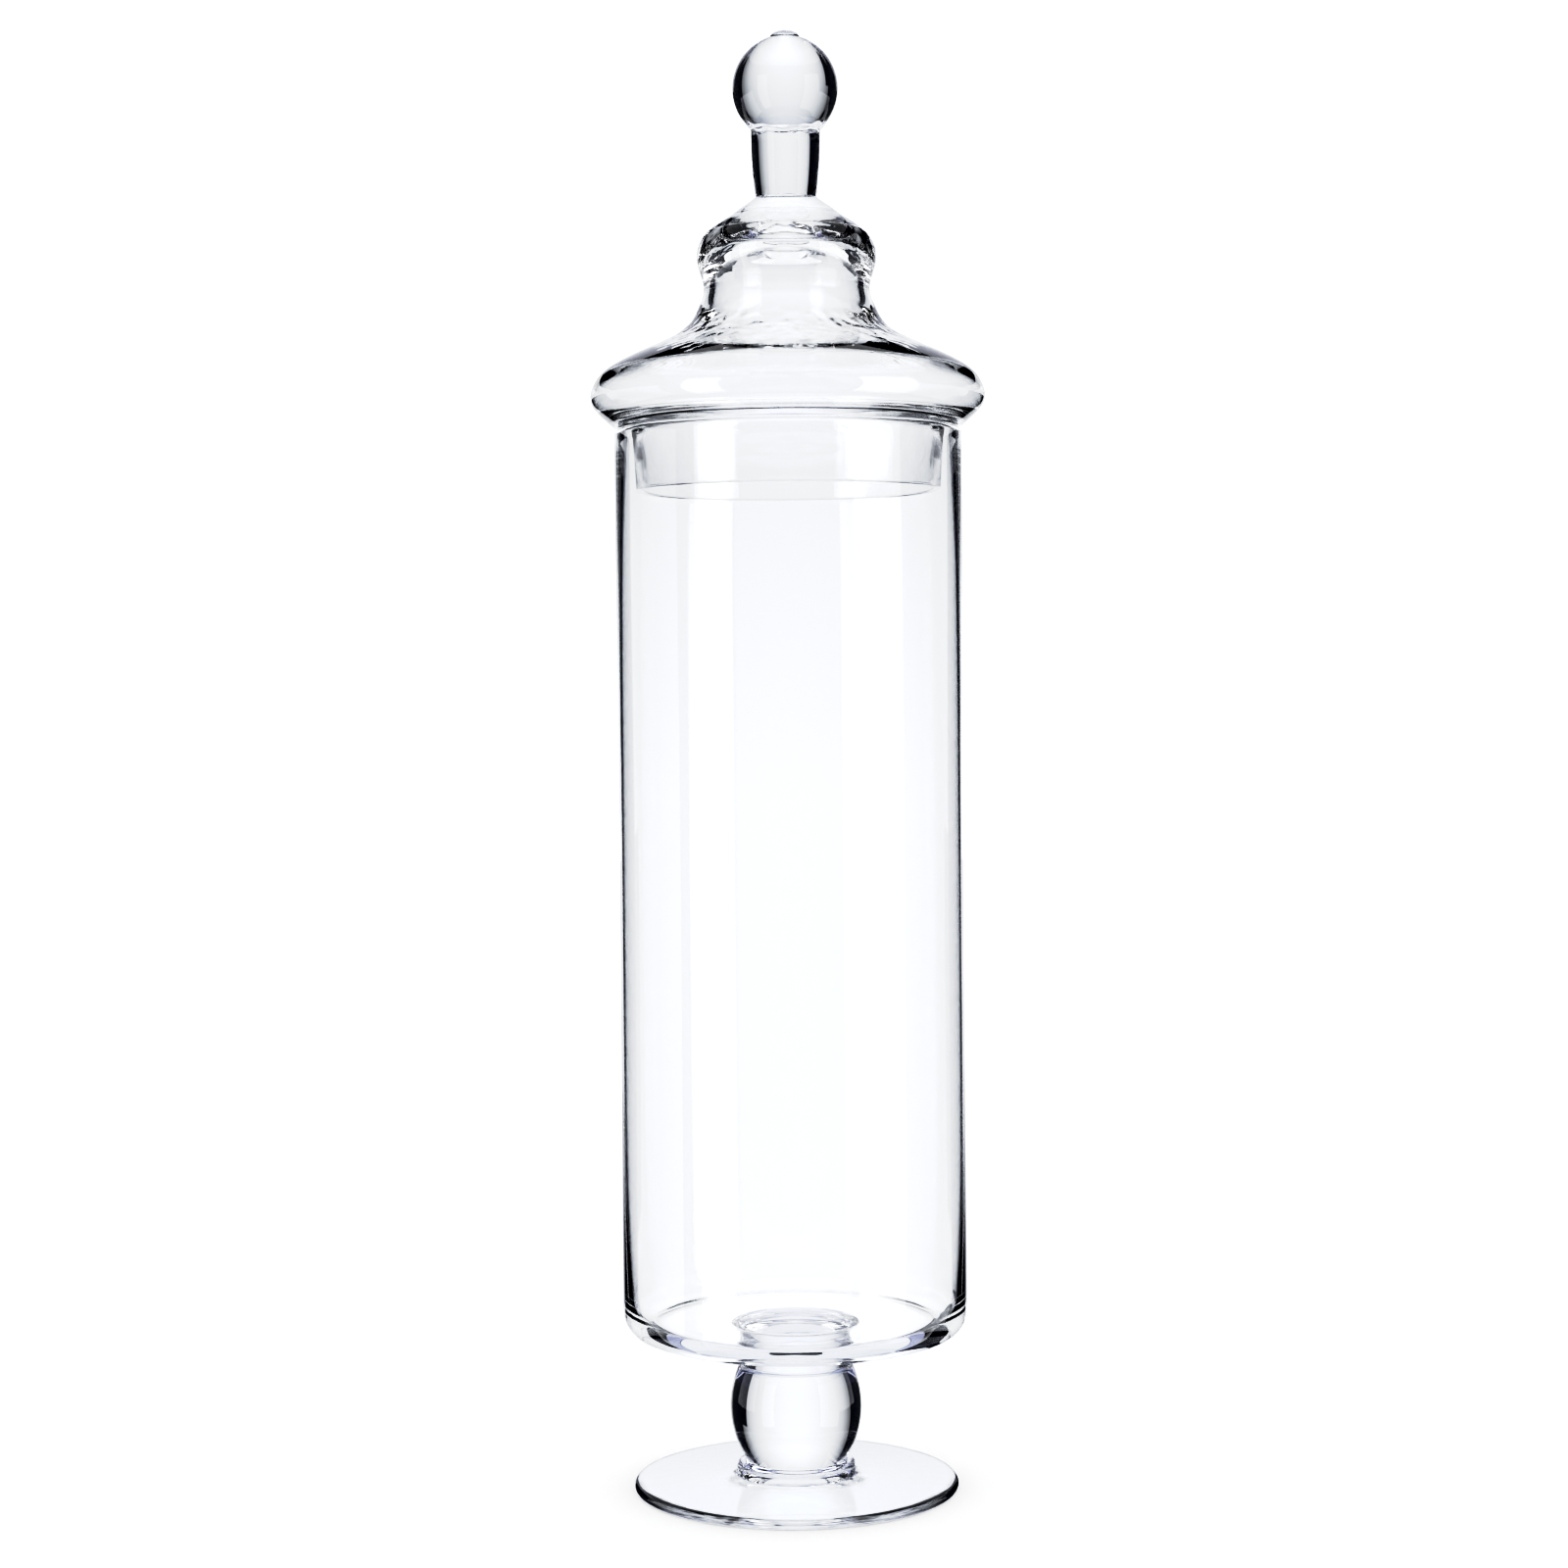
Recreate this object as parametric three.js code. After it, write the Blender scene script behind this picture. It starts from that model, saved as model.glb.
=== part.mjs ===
/**
 * Tall footed display jar of clear hand-worked glass, with a lift-off lid.
 *
 * Millimetres, +Z up. The origin is the centre of the circle that the foot stands on.
 * Every sub-part is one gather of glass, turned about the Z axis. Gathers that are fused
 * hot keep a hair of clearance, so that each stays a solid of its own.
 */
import * as THREE from 'three';

// Facets round the axis, and steps along a curve.
const FACETS_WIDE = 40;
const FACETS_SLIM = 28;
const STEPS_COARSE = 2;
const STEPS_FINE = 7;

const SEAM = 0.3; // clearance between two gathers, and between the lid and the rim

// Foot: a low cone of even thickness, which stands on a flat ring at its rounded edge.
const FOOT_RADIUS = 57;
const FOOT_EDGE = 1.6; // half the thickness of the edge
const FOOT_HUB = 7; // height of its top at the middle
const FOOT_CONE_TOP = 24; // radius at which the cone ends and the middle begins
const KICK_RADIUS = 51.5; // inner radius of the ring that it stands on
const KICK_DEPTH = 2.8;

// Lower wafer, solid ball and upper wafer, which join the foot to the body.
const LOWER_WAFER_RADIUS = 20.6;
const LOWER_WAFER_TOP = 10;
const KNOP_RADIUS = 23.1;
const KNOP_HALF_HEIGHT = 28.5;
const KNOP_CENTRE = 29;
const KNOP_TOP = 43.6;
const UPPER_WAFER_WAIST = 19.2;
const UPPER_WAFER_FLARE = 22.5;

// Body: a long blown cylinder, thick at its mouth and floor and thin half-way up.
const BODY_BOTTOM = 54.5;
const BODY_RADIUS = 60.2;
const BODY_WAIST = 59.8;
const BODY_CORNER = 8.4;
const FLOOR_TOP = 57.5;
const FLOOR_BUMP = 0.3; // rise of the floor over the upper wafer
const RIM_TOP = 370.7;
const RIM_WALL = 3.4;

// Lid: dome, hollow rolled flange and plug, blown as one wall.
const PLUG_BOTTOM = 350;
const PLUG_RADIUS = 53.1;
const PLUG_WALL = 2.2;
const LID_SEAT = RIM_TOP + SEAM;
const FLANGE_RADIUS = 68.5;
const FLANGE_CENTRE = 382;
const DOME_WAIST = 28.8;
const DOME_TOP = 439.1;
const DOME_CEILING = 436;

// Finial: shoulder, stem, collar, ball and the pip where the ball was cracked off.
const STEM_FOOT = 450.5;
const STEM_TOP = 473.6;
const STEM_WAIST = 10.6;
const STEM_RADIUS = 12;
const COLLAR_TOP = 476.1;
const COLLAR_RADIUS = 13.3;
const BALL_RADIUS = 18.3;
const BALL_CENTRE = 488;
const BALL_TOP = 505.4;
const PIP_RADIUS = 5.1;
const TOTAL_HEIGHT = 508;

const clearGlass = new THREE.MeshStandardMaterial({
  color: 0xf0f4f8,
  roughness: 0.03,
  metalness: 0,
  transparent: true,
  opacity: 0.35,
});

const point = (radius, height) => new THREE.Vector2(radius, height);

/** Angle, on an upright ellipse of this half height, of the place this far above its centre. */
const climb = (rise, halfHeight) => Math.asin(rise / halfHeight);

/** Turns an outline about Z. It runs up the outside and down the inside, and ends on the axis. */
function turned(name, outline, facets, steps) {
  const tiny = 1e-6;
  const drawn = outline.getPoints(steps);
  const kept = drawn.filter((p, i) => i === 0 || p.distanceTo(drawn[i - 1]) > tiny);
  const onAxis = kept.map((p) => point(Math.max(p.x, 0) < tiny ? 0 : p.x, p.y));
  const geometry = new THREE.LatheGeometry(onAxis, facets);
  geometry.rotateX(Math.PI / 2);
  const mesh = new THREE.Mesh(geometry, clearGlass.clone());
  mesh.name = name;
  return mesh;
}

function jarFoot() {
  const flat = FOOT_RADIUS - FOOT_EDGE;
  const outline = new THREE.Path();
  outline.moveTo(0, KICK_DEPTH);
  outline.lineTo(FOOT_CONE_TOP - 2, KICK_DEPTH);
  outline.quadraticCurveTo(FOOT_CONE_TOP, KICK_DEPTH, FOOT_CONE_TOP + 2, KICK_DEPTH - 0.2);
  outline.lineTo(KICK_RADIUS, 0);
  outline.lineTo(flat, 0);
  outline.absarc(flat, FOOT_EDGE, FOOT_EDGE, -Math.PI / 2, Math.PI / 2, false);
  outline.lineTo(KICK_RADIUS, 2 * FOOT_EDGE + 0.2);
  outline.lineTo(FOOT_CONE_TOP, FOOT_HUB - 0.7);
  outline.lineTo(LOWER_WAFER_RADIUS, FOOT_HUB);
  outline.lineTo(0, FOOT_HUB);
  return turned('jar_foot', outline, FACETS_WIDE, STEPS_COARSE);
}

function lowerWafer() {
  const bottom = FOOT_HUB + SEAM;
  const middle = (bottom + LOWER_WAFER_TOP) / 2;
  const inner = LOWER_WAFER_RADIUS - 2;
  const outline = new THREE.Path();
  outline.moveTo(0, bottom);
  outline.lineTo(inner + 0.8, bottom);
  outline.splineThru([point(LOWER_WAFER_RADIUS, middle - 0.4), point(inner, LOWER_WAFER_TOP)]);
  outline.lineTo(0, LOWER_WAFER_TOP);
  return turned('lower_wafer', outline, FACETS_SLIM, STEPS_COARSE);
}

function stemKnop() {
  const bottom = LOWER_WAFER_TOP + SEAM;
  const from = climb(bottom - KNOP_CENTRE, KNOP_HALF_HEIGHT);
  const to = climb(KNOP_TOP - KNOP_CENTRE, KNOP_HALF_HEIGHT);
  const outline = new THREE.Path();
  outline.moveTo(0, bottom);
  outline.lineTo(KNOP_RADIUS * Math.cos(from), bottom);
  outline.absellipse(0, KNOP_CENTRE, KNOP_RADIUS, KNOP_HALF_HEIGHT, from, to, false, 0);
  outline.lineTo(0, KNOP_TOP);
  return turned('stem_knop', outline, FACETS_SLIM, STEPS_FINE);
}

function upperWafer() {
  const bottom = KNOP_TOP + SEAM;
  const top = BODY_BOTTOM - SEAM;
  const outline = new THREE.Path();
  outline.moveTo(0, bottom);
  outline.lineTo(UPPER_WAFER_WAIST + 0.3, bottom);
  outline.splineThru([
    point(UPPER_WAFER_WAIST, bottom + 2.3),
    point(UPPER_WAFER_WAIST + 0.9, top - 2.5),
    point(UPPER_WAFER_FLARE, top),
  ]);
  outline.lineTo(0, top);
  return turned('upper_wafer', outline, FACETS_SLIM, STEPS_COARSE);
}

function jarBody() {
  const flat = BODY_RADIUS - BODY_CORNER;
  const bore = BODY_RADIUS - RIM_WALL;
  const lip = RIM_WALL / 2;
  const outline = new THREE.Path();
  outline.moveTo(0, BODY_BOTTOM);
  outline.lineTo(flat, BODY_BOTTOM);
  outline.absarc(flat, BODY_BOTTOM + BODY_CORNER, BODY_CORNER, -Math.PI / 2, 0, false);
  outline.splineThru([point(BODY_WAIST, 213), point(BODY_RADIUS, RIM_TOP - lip)]);
  outline.absarc(BODY_RADIUS - lip, RIM_TOP - lip, lip, 0, Math.PI, false);
  outline.splineThru([
    point(bore + 0.8, 345),
    point(bore + 1.4, 316),
    point(BODY_WAIST - 1.3, 213),
    point(bore + 1.6, 100),
    point(bore + 0.8, 72),
    point(bore - 0.1, 63.6),
    point(bore - 2.4, 59.6),
    point(bore - 7, FLOOR_TOP),
  ]);
  outline.lineTo(UPPER_WAFER_FLARE, FLOOR_TOP);
  outline.quadraticCurveTo(UPPER_WAFER_WAIST, FLOOR_TOP, UPPER_WAFER_WAIST - 4, FLOOR_TOP + FLOOR_BUMP);
  outline.lineTo(0, FLOOR_TOP + FLOOR_BUMP);
  return turned('jar_body', outline, FACETS_WIDE, STEPS_COARSE);
}

function lidShell() {
  const plugBore = PLUG_RADIUS - PLUG_WALL;
  const edge = PLUG_WALL / 2;
  const outline = new THREE.Path();
  outline.moveTo(0, DOME_CEILING);
  outline.splineThru([
    point(15, DOME_CEILING - 0.6),
    point(22.6, 431.6),
    point(25.2, 425.5),
    point(25, 419),
    point(27.2, 411.5),
    point(32.6, 404.8),
    point(42.4, 399.2),
    point(54.6, 393.9),
    point(63.4, 388.9),
    point(67.2, 382),
    point(64.4, 376.4),
    point(56.5, 372.9),
    point(plugBore + 0.9, 367.5),
  ]);
  outline.lineTo(plugBore, PLUG_BOTTOM + edge);
  outline.absarc(PLUG_RADIUS - edge, PLUG_BOTTOM + edge, edge, Math.PI, 2 * Math.PI, false);
  outline.lineTo(PLUG_RADIUS + 0.9, 367.5);
  outline.quadraticCurveTo(PLUG_RADIUS + 1.4, LID_SEAT, PLUG_RADIUS + 3.8, LID_SEAT);
  outline.lineTo(BODY_RADIUS - 0.4, LID_SEAT);
  outline.splineThru([
    point(64.5, 375.2),
    point(67.6, 378.6),
    point(FLANGE_RADIUS, FLANGE_CENTRE),
    point(67.6, 385.6),
    point(64.5, 390),
    point(55.6, 395.5),
    point(43.4, 401),
    point(34.6, 406.4),
    point(30.6, 413),
    point(DOME_WAIST, 419.4),
    point(30.6, 426.5),
    point(30.6, 433.6),
    point(27.2, DOME_TOP),
  ]);
  outline.lineTo(0, DOME_TOP);
  return turned('lid_shell', outline, FACETS_WIDE, STEPS_COARSE);
}

function finialShoulder() {
  const bottom = DOME_TOP + SEAM;
  const outline = new THREE.Path();
  outline.moveTo(0, bottom);
  outline.lineTo(26.6, bottom);
  outline.splineThru([
    point(23.3, 441.8),
    point(18.9, 444.6),
    point(15.6, 447.1),
    point(12.4, 449.3),
    point(11.2, STEM_FOOT),
  ]);
  outline.lineTo(0, STEM_FOOT);
  return turned('finial_shoulder', outline, FACETS_SLIM, STEPS_COARSE);
}

function finialStem() {
  const bottom = STEM_FOOT + SEAM;
  const outline = new THREE.Path();
  outline.moveTo(0, bottom);
  outline.lineTo(STEM_WAIST, bottom);
  outline.splineThru([point(11.6, 460), point(STEM_RADIUS, STEM_TOP)]);
  outline.lineTo(0, STEM_TOP);
  return turned('finial_stem', outline, FACETS_SLIM, STEPS_COARSE);
}

function finialCollar() {
  const bottom = STEM_TOP + SEAM;
  const middle = (bottom + COLLAR_TOP) / 2;
  const outline = new THREE.Path();
  outline.moveTo(0, bottom);
  outline.lineTo(STEM_RADIUS, bottom);
  outline.quadraticCurveTo(COLLAR_RADIUS, bottom, COLLAR_RADIUS, middle);
  outline.quadraticCurveTo(COLLAR_RADIUS, COLLAR_TOP, COLLAR_RADIUS - 0.3, COLLAR_TOP);
  outline.lineTo(0, COLLAR_TOP);
  return turned('finial_collar', outline, FACETS_SLIM, STEPS_COARSE);
}

function finialBall() {
  const bottom = COLLAR_TOP + SEAM;
  const from = climb(bottom - BALL_CENTRE, BALL_RADIUS);
  const to = climb(BALL_TOP - BALL_CENTRE, BALL_RADIUS);
  const outline = new THREE.Path();
  outline.moveTo(0, bottom);
  outline.lineTo(BALL_RADIUS * Math.cos(from), bottom);
  outline.absarc(0, BALL_CENTRE, BALL_RADIUS, from, to, false);
  outline.lineTo(0, BALL_TOP);
  return turned('finial_ball', outline, FACETS_SLIM, STEPS_FINE);
}

function finialPip() {
  const bottom = BALL_TOP + SEAM;
  const outline = new THREE.Path();
  outline.moveTo(0, bottom);
  outline.lineTo(PIP_RADIUS, bottom);
  outline.absellipse(0, bottom, PIP_RADIUS, TOTAL_HEIGHT - bottom, 0, Math.PI / 2, false, 0);
  return turned('finial_pip', outline, FACETS_SLIM, STEPS_COARSE);
}

/** The footed jar, which stands still. */
function jar() {
  const group = new THREE.Group();
  group.add(jarFoot(), lowerWafer(), stemKnop(), upperWafer(), jarBody());
  return group;
}

/** The lid, which lifts straight out of the jar's mouth. */
function lid() {
  const group = new THREE.Group();
  group.add(lidShell(), finialShoulder(), finialStem(), finialCollar(), finialBall(), finialPip());
  return group;
}

const displayJar = new THREE.Group();
displayJar.add(jar(), lid());

export default displayJar;
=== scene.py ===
"""Looks of a tall footed display jar: clear hand-worked glass in a bright-field studio.

The jar is made of gathers of glass that were fused hot. Every gather is one closed mesh, turned about Z,
and it meets its neighbour on a flat seam that light passes straight through. Lengths in the outlines are
in millimetres, and every mesh is in metres.
"""
import logging
import math
from abc import ABC, abstractmethod
from dataclasses import dataclass, field
from enum import Enum
from typing import Iterable, Optional

import bmesh
import bpy
import numpy as np
from mathutils import Matrix, Vector, noise


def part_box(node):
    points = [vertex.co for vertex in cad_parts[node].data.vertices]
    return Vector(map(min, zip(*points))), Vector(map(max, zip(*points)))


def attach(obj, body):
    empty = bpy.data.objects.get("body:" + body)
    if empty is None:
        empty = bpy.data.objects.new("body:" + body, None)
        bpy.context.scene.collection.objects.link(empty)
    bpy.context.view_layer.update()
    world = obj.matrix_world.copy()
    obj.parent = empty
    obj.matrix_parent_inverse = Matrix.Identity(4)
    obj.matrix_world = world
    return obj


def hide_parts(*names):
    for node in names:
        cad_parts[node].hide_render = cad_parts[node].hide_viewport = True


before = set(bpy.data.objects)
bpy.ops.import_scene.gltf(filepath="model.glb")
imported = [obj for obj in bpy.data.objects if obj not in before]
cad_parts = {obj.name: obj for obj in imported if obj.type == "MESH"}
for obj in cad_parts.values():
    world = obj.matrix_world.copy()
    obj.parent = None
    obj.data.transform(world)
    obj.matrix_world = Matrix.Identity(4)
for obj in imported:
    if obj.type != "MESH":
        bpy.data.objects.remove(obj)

LOG = logging.getLogger("display_jar")
MM = 0.001
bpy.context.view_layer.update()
FACETS = 192
FINE_FACETS = 256
COARSE_FACETS = 96
PRINT_CURVE = ((0.033, 0.0023), (0.133, 0.04), (0.263, 0.17), (0.38, 0.38), (0.522, 0.656),
               (0.694, 0.816), (0.787, 0.868), (0.901, 0.926))

Colour = tuple[float, float, float]


class Body(Enum):
    """The two rigid bodies of the jar."""

    JAR = "jar"
    LID = "lid"


class Slot(Enum):
    """The record's finishes."""

    BLOWN = "blown_glass"
    SOLID = "solid_glass"
    FOOT = "foot_glass"
    JOINT = "joint_glass"


# ---- Outlines ----


def fair_curve(knots: list[tuple[float, float]], steps: int) -> list[tuple[float, float]]:
    """Draws the natural cubic spline through some knots.

    Args:
        knots: Radius and height of each place that the curve passes, in order.
        steps: Points for each stretch between two knots.

    Returns:
        The points of the curve, without its first knot.
    """
    places = np.array(knots, float)
    gaps = np.sqrt(np.linalg.norm(np.diff(places, axis=0), axis=1))
    size = len(places)
    system = np.eye(size)
    pull = np.zeros((size, 2))
    for i in range(1, size - 1):
        system[i, i - 1 : i + 2] = gaps[i - 1], 2 * (gaps[i - 1] + gaps[i]), gaps[i]
        after = (places[i + 1] - places[i]) / gaps[i]
        before = (places[i] - places[i - 1]) / gaps[i - 1]
        pull[i] = 6 * (after - before)
    bend = np.linalg.solve(system, pull)
    drawn = []
    for i in range(size - 1):
        for step in range(1, steps + 1):
            b = step / steps
            a = 1 - b
            sag = ((a**3 - a) * bend[i] + (b**3 - b) * bend[i + 1]) * gaps[i] ** 2 / 6
            drawn.append(tuple(a * places[i] + b * places[i + 1] + sag))
    return drawn


class Outline:
    """Half the section of a turned piece, drawn up its outside and down its inside."""

    def __init__(self, radius: float, height: float) -> None:
        """Starts the outline at a place, in millimetres."""
        self.points: list[tuple[float, float]] = [(radius, height)]

    def line(self, radius: float, height: float, steps: int = 1) -> "Outline":
        """Draws a straight line to a place."""
        start = np.array(self.points[-1])
        end = np.array((radius, height))
        for step in range(1, steps + 1):
            self.points.append(tuple(start + (end - start) * step / steps))
        return self

    def arc(self, centre: tuple[float, float], reach: tuple[float, float],
            start: float, end: float, steps: int) -> "Outline":
        """Draws part of an upright ellipse.

        Args:
            centre: Radius and height of its centre.
            reach: Its half width and half height.
            start: Angle of its first point, in degrees from the outward direction.
            end: Angle of its last point.
            steps: Points along it.

        Returns:
            The outline.
        """
        for step in range(steps + 1):
            angle = math.radians(start + (end - start) * step / steps)
            place = (centre[0] + reach[0] * math.cos(angle), centre[1] + reach[1] * math.sin(angle))
            if math.dist(place, self.points[-1]) > 1e-5:
                self.points.append(place)
        return self

    def through(self, *knots: tuple[float, float], steps: int = 8) -> "Outline":
        """Draws a fair curve from the last point through some knots."""
        self.points.extend(fair_curve([self.points[-1], *knots], steps))
        return self

    def fillet(self, corner: tuple[float, float], end: tuple[float, float], steps: int = 6) -> "Outline":
        """Rounds a corner with a parabola that ends at a place."""
        first = np.array(self.points[-1])
        middle = np.array(corner)
        last = np.array(end)
        for step in range(1, steps + 1):
            b = step / steps
            a = 1 - b
            self.points.append(tuple(a * a * first + 2 * a * b * middle + b * b * last))
        return self


def climb(rise: float, half_height: float) -> float:
    """Angle, in degrees, of the place on an ellipse this far above its centre."""
    return math.degrees(math.asin(rise / half_height))


# ---- Hand work: the small unevenness of every turned piece ----


@dataclass(frozen=True)
class Mark(ABC):
    """A mark in the glass round one height of the jar, in millimetres.

    Args:
        height: Height of its middle.
        reach: How far it fades above and below.
        depth: How far it moves the glass in or out.
    """

    height: float
    reach: float
    depth: float

    def fade(self, height: float) -> float:
        """Share of the mark that is left at a height."""
        return math.exp(-(((height - self.height) / self.reach) ** 2))

    @abstractmethod
    def at(self, place: Vector, height: float) -> float:
        """Movement outward at a place, in millimetres."""


@dataclass(frozen=True)
class Wobble(Mark):
    """A soft unevenness that swells a few times in one turn.

    Args:
        lobes: How many times it swells.
        turn: Where its first swelling is, in degrees.
    """

    lobes: int
    turn: float

    def at(self, place: Vector, height: float) -> float:
        """Movement outward at a place, in millimetres."""
        angle = math.atan2(place.y, place.x) - math.radians(self.turn)
        return self.depth * self.fade(height) * math.cos(self.lobes * angle)


@dataclass(frozen=True)
class Crease(Mark):
    """Fine uneven wrinkles in the skin of glass at a joint.

    Args:
        grain: Size of a wrinkle.
        seed: Place in the noise that it is cut from.
    """

    grain: float
    seed: float

    def at(self, place: Vector, height: float) -> float:
        """Movement outward at a place, in millimetres."""
        spot = place / (self.grain * MM) + Vector((self.seed, self.seed, 0.0))
        return self.depth * self.fade(height) * noise.noise(spot)


@dataclass
class HandWork:
    """All the unevenness of the jar, as one movement of space that fused pieces share.

    Args:
        marks: Every mark.
        cut_off: Reaches from its middle at which a mark is left out.
        calm: Radius, in millimetres, inside which the marks fade towards the axis.
    """

    marks: list[Mark]
    cut_off: float = 2.2
    calm: float = 8.0

    def work(self, mesh: bmesh.types.BMesh) -> None:
        """Moves every point of a mesh in or out."""
        for vert in mesh.verts:
            height = vert.co.z / MM
            near = [mark for mark in self.marks if abs(height - mark.height) < self.cut_off * mark.reach]
            radius = math.hypot(vert.co.x, vert.co.y)
            if not near or radius < 1e-7:
                continue
            shift = sum(mark.at(vert.co, height) for mark in near)
            grip = min(1.0, radius / (self.calm * MM))
            stretch = 1 + shift * MM * grip / radius
            vert.co.x *= stretch
            vert.co.y *= stretch


# ---- Glass ----


def new_mesh(name: str, shape: bmesh.types.BMesh) -> bpy.types.Mesh:
    """Writes a shape into new mesh data and frees it."""
    data = bpy.data.meshes.new(name)
    shape.to_mesh(data)
    shape.free()
    return data


def new_material(name: str) -> tuple[bpy.types.Material, bpy.types.Node]:
    """Makes a material and returns it with its Principled shader."""
    material = bpy.data.materials.new(name)
    material.use_nodes = True
    return material, material.node_tree.nodes["Principled BSDF"]


class NodeGroup:
    """A shader node group with named inputs and outputs, made once."""

    def __init__(self, name: str) -> None:
        """Makes an empty group with its two ends."""
        self.tree = bpy.data.node_groups.new(name, "ShaderNodeTree")
        self.start = self.tree.nodes.new("NodeGroupInput")
        self.end = self.tree.nodes.new("NodeGroupOutput")

    def takes(self, name: str, kind: str, value: Optional[float] = None) -> None:
        """Adds a named input."""
        socket = self.tree.interface.new_socket(name=name, in_out="INPUT", socket_type=kind)
        if value is not None:
            socket.default_value = value

    def gives(self, name: str, kind: str) -> None:
        """Adds a named output."""
        self.tree.interface.new_socket(name=name, in_out="OUTPUT", socket_type=kind)

    def node(self, kind: str, **settings: object) -> bpy.types.Node:
        """Adds a node and sets its properties."""
        made = self.tree.nodes.new(kind)
        for key, value in settings.items():
            setattr(made, key, value)
        return made

    def link(self, source: bpy.types.NodeSocket, target: bpy.types.NodeSocket) -> None:
        """Joins two sockets."""
        self.tree.links.new(source, target)


def striae_group() -> bpy.types.NodeTree:
    """Builds the soft cords and ripples that hand-gathered glass has in its skin.

    Returns:
        A group that takes a place and gives the skin's height.
    """
    group = NodeGroup("glass_striae")
    group.takes("Place", "NodeSocketVector")
    group.takes("Ripple Scale", "NodeSocketFloat", 20.0)
    group.takes("Cord Scale", "NodeSocketFloat", 60.0)
    group.gives("Height", "NodeSocketFloat")
    ripple = group.node("ShaderNodeTexNoise")
    ripple.inputs["Detail"].default_value = 1.0
    drawn_out = group.node("ShaderNodeMapping")
    drawn_out.inputs["Scale"].default_value = (1.0, 1.0, 0.12)
    cord = group.node("ShaderNodeTexNoise")
    cord.inputs["Detail"].default_value = 2.0
    both = group.node("ShaderNodeMath", operation="MULTIPLY_ADD")
    both.inputs[1].default_value = 0.35
    group.link(group.start.outputs["Place"], ripple.inputs["Vector"])
    group.link(group.start.outputs["Ripple Scale"], ripple.inputs["Scale"])
    group.link(group.start.outputs["Place"], drawn_out.inputs["Vector"])
    group.link(drawn_out.outputs["Vector"], cord.inputs["Vector"])
    group.link(group.start.outputs["Cord Scale"], cord.inputs["Scale"])
    group.link(cord.outputs["Fac"], both.inputs[0])
    group.link(ripple.outputs["Fac"], both.inputs[2])
    group.link(both.outputs["Value"], group.end.inputs["Height"])
    return group.tree


def handling_group() -> bpy.types.NodeTree:
    """Builds the faint marks of handling and dust that dull polished glass.

    Returns:
        A group that takes a place and gives a roughness.
    """
    group = NodeGroup("glass_handling")
    group.takes("Place", "NodeSocketVector")
    group.takes("Mark Scale", "NodeSocketFloat", 35.0)
    group.takes("Polish", "NodeSocketFloat", 0.0)
    group.takes("Mark Roughness", "NodeSocketFloat", 0.03)
    group.gives("Roughness", "NodeSocketFloat")
    smear = group.node("ShaderNodeTexNoise")
    smear.inputs["Detail"].default_value = 4.0
    smear.inputs["Roughness"].default_value = 0.6
    patch = group.node("ShaderNodeMapRange", clamp=True)
    patch.inputs["From Min"].default_value = 0.56
    patch.inputs["From Max"].default_value = 0.78
    spread = group.node("ShaderNodeMath", operation="MULTIPLY_ADD")
    group.link(group.start.outputs["Place"], smear.inputs["Vector"])
    group.link(group.start.outputs["Mark Scale"], smear.inputs["Scale"])
    group.link(smear.outputs["Fac"], patch.inputs["Value"])
    group.link(patch.outputs["Result"], spread.inputs[0])
    group.link(group.start.outputs["Mark Roughness"], spread.inputs[1])
    group.link(group.start.outputs["Polish"], spread.inputs[2])
    group.link(spread.outputs["Value"], group.end.inputs["Roughness"])
    return group.tree


@dataclass(frozen=True)
class GlassFinish:
    """One clear glass finish.

    Args:
        name: Name of the material.
        tint: Colour that one surface gives to the light that passes it.
        index: Refractive index.
        ripple: Depth of the skin's ripples, in metres.
        ripple_scale: How fine the ripples are, in turns per metre.
        mark_roughness: Roughness where the glass was handled.
    """

    name: str
    tint: Colour
    index: float = 1.5
    ripple: float = 0.00002
    ripple_scale: float = 25.0
    mark_roughness: float = 0.02

    def build(self, striae: bpy.types.NodeTree, handling: bpy.types.NodeTree) -> bpy.types.Material:
        """Makes the material from the shared groups.

        Args:
            striae: The group of cords and ripples.
            handling: The group of handling marks.

        Returns:
            The finished material.
        """
        material, shader = new_material(self.name)
        tree = material.node_tree
        shader.inputs["Base Color"].default_value = (*self.tint, 1.0)
        shader.inputs["IOR"].default_value = self.index
        shader.inputs["Transmission Weight"].default_value = 1.0
        place = tree.nodes.new("ShaderNodeTexCoord").outputs["Object"]
        ripples = tree.nodes.new("ShaderNodeGroup")
        ripples.node_tree = striae
        ripples.inputs["Ripple Scale"].default_value = self.ripple_scale
        ripples.inputs["Cord Scale"].default_value = self.ripple_scale * 3
        bump = tree.nodes.new("ShaderNodeBump")
        bump.inputs["Strength"].default_value = 1.0
        bump.inputs["Distance"].default_value = self.ripple
        marks = tree.nodes.new("ShaderNodeGroup")
        marks.node_tree = handling
        marks.inputs["Mark Roughness"].default_value = self.mark_roughness
        tree.links.new(place, ripples.inputs["Place"])
        tree.links.new(place, marks.inputs["Place"])
        tree.links.new(ripples.outputs["Height"], bump.inputs["Height"])
        tree.links.new(bump.outputs["Normal"], shader.inputs["Normal"])
        tree.links.new(marks.outputs["Roughness"], shader.inputs["Roughness"])
        return material


def fused_seam() -> bpy.types.Material:
    """Makes the finish of a seam between two fused gathers, which light passes straight through."""
    material, shader = new_material("fused_seam")
    shader.inputs["Base Color"].default_value = (1.0, 1.0, 1.0, 1.0)
    shader.inputs["Alpha"].default_value = 0.0
    return material


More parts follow.
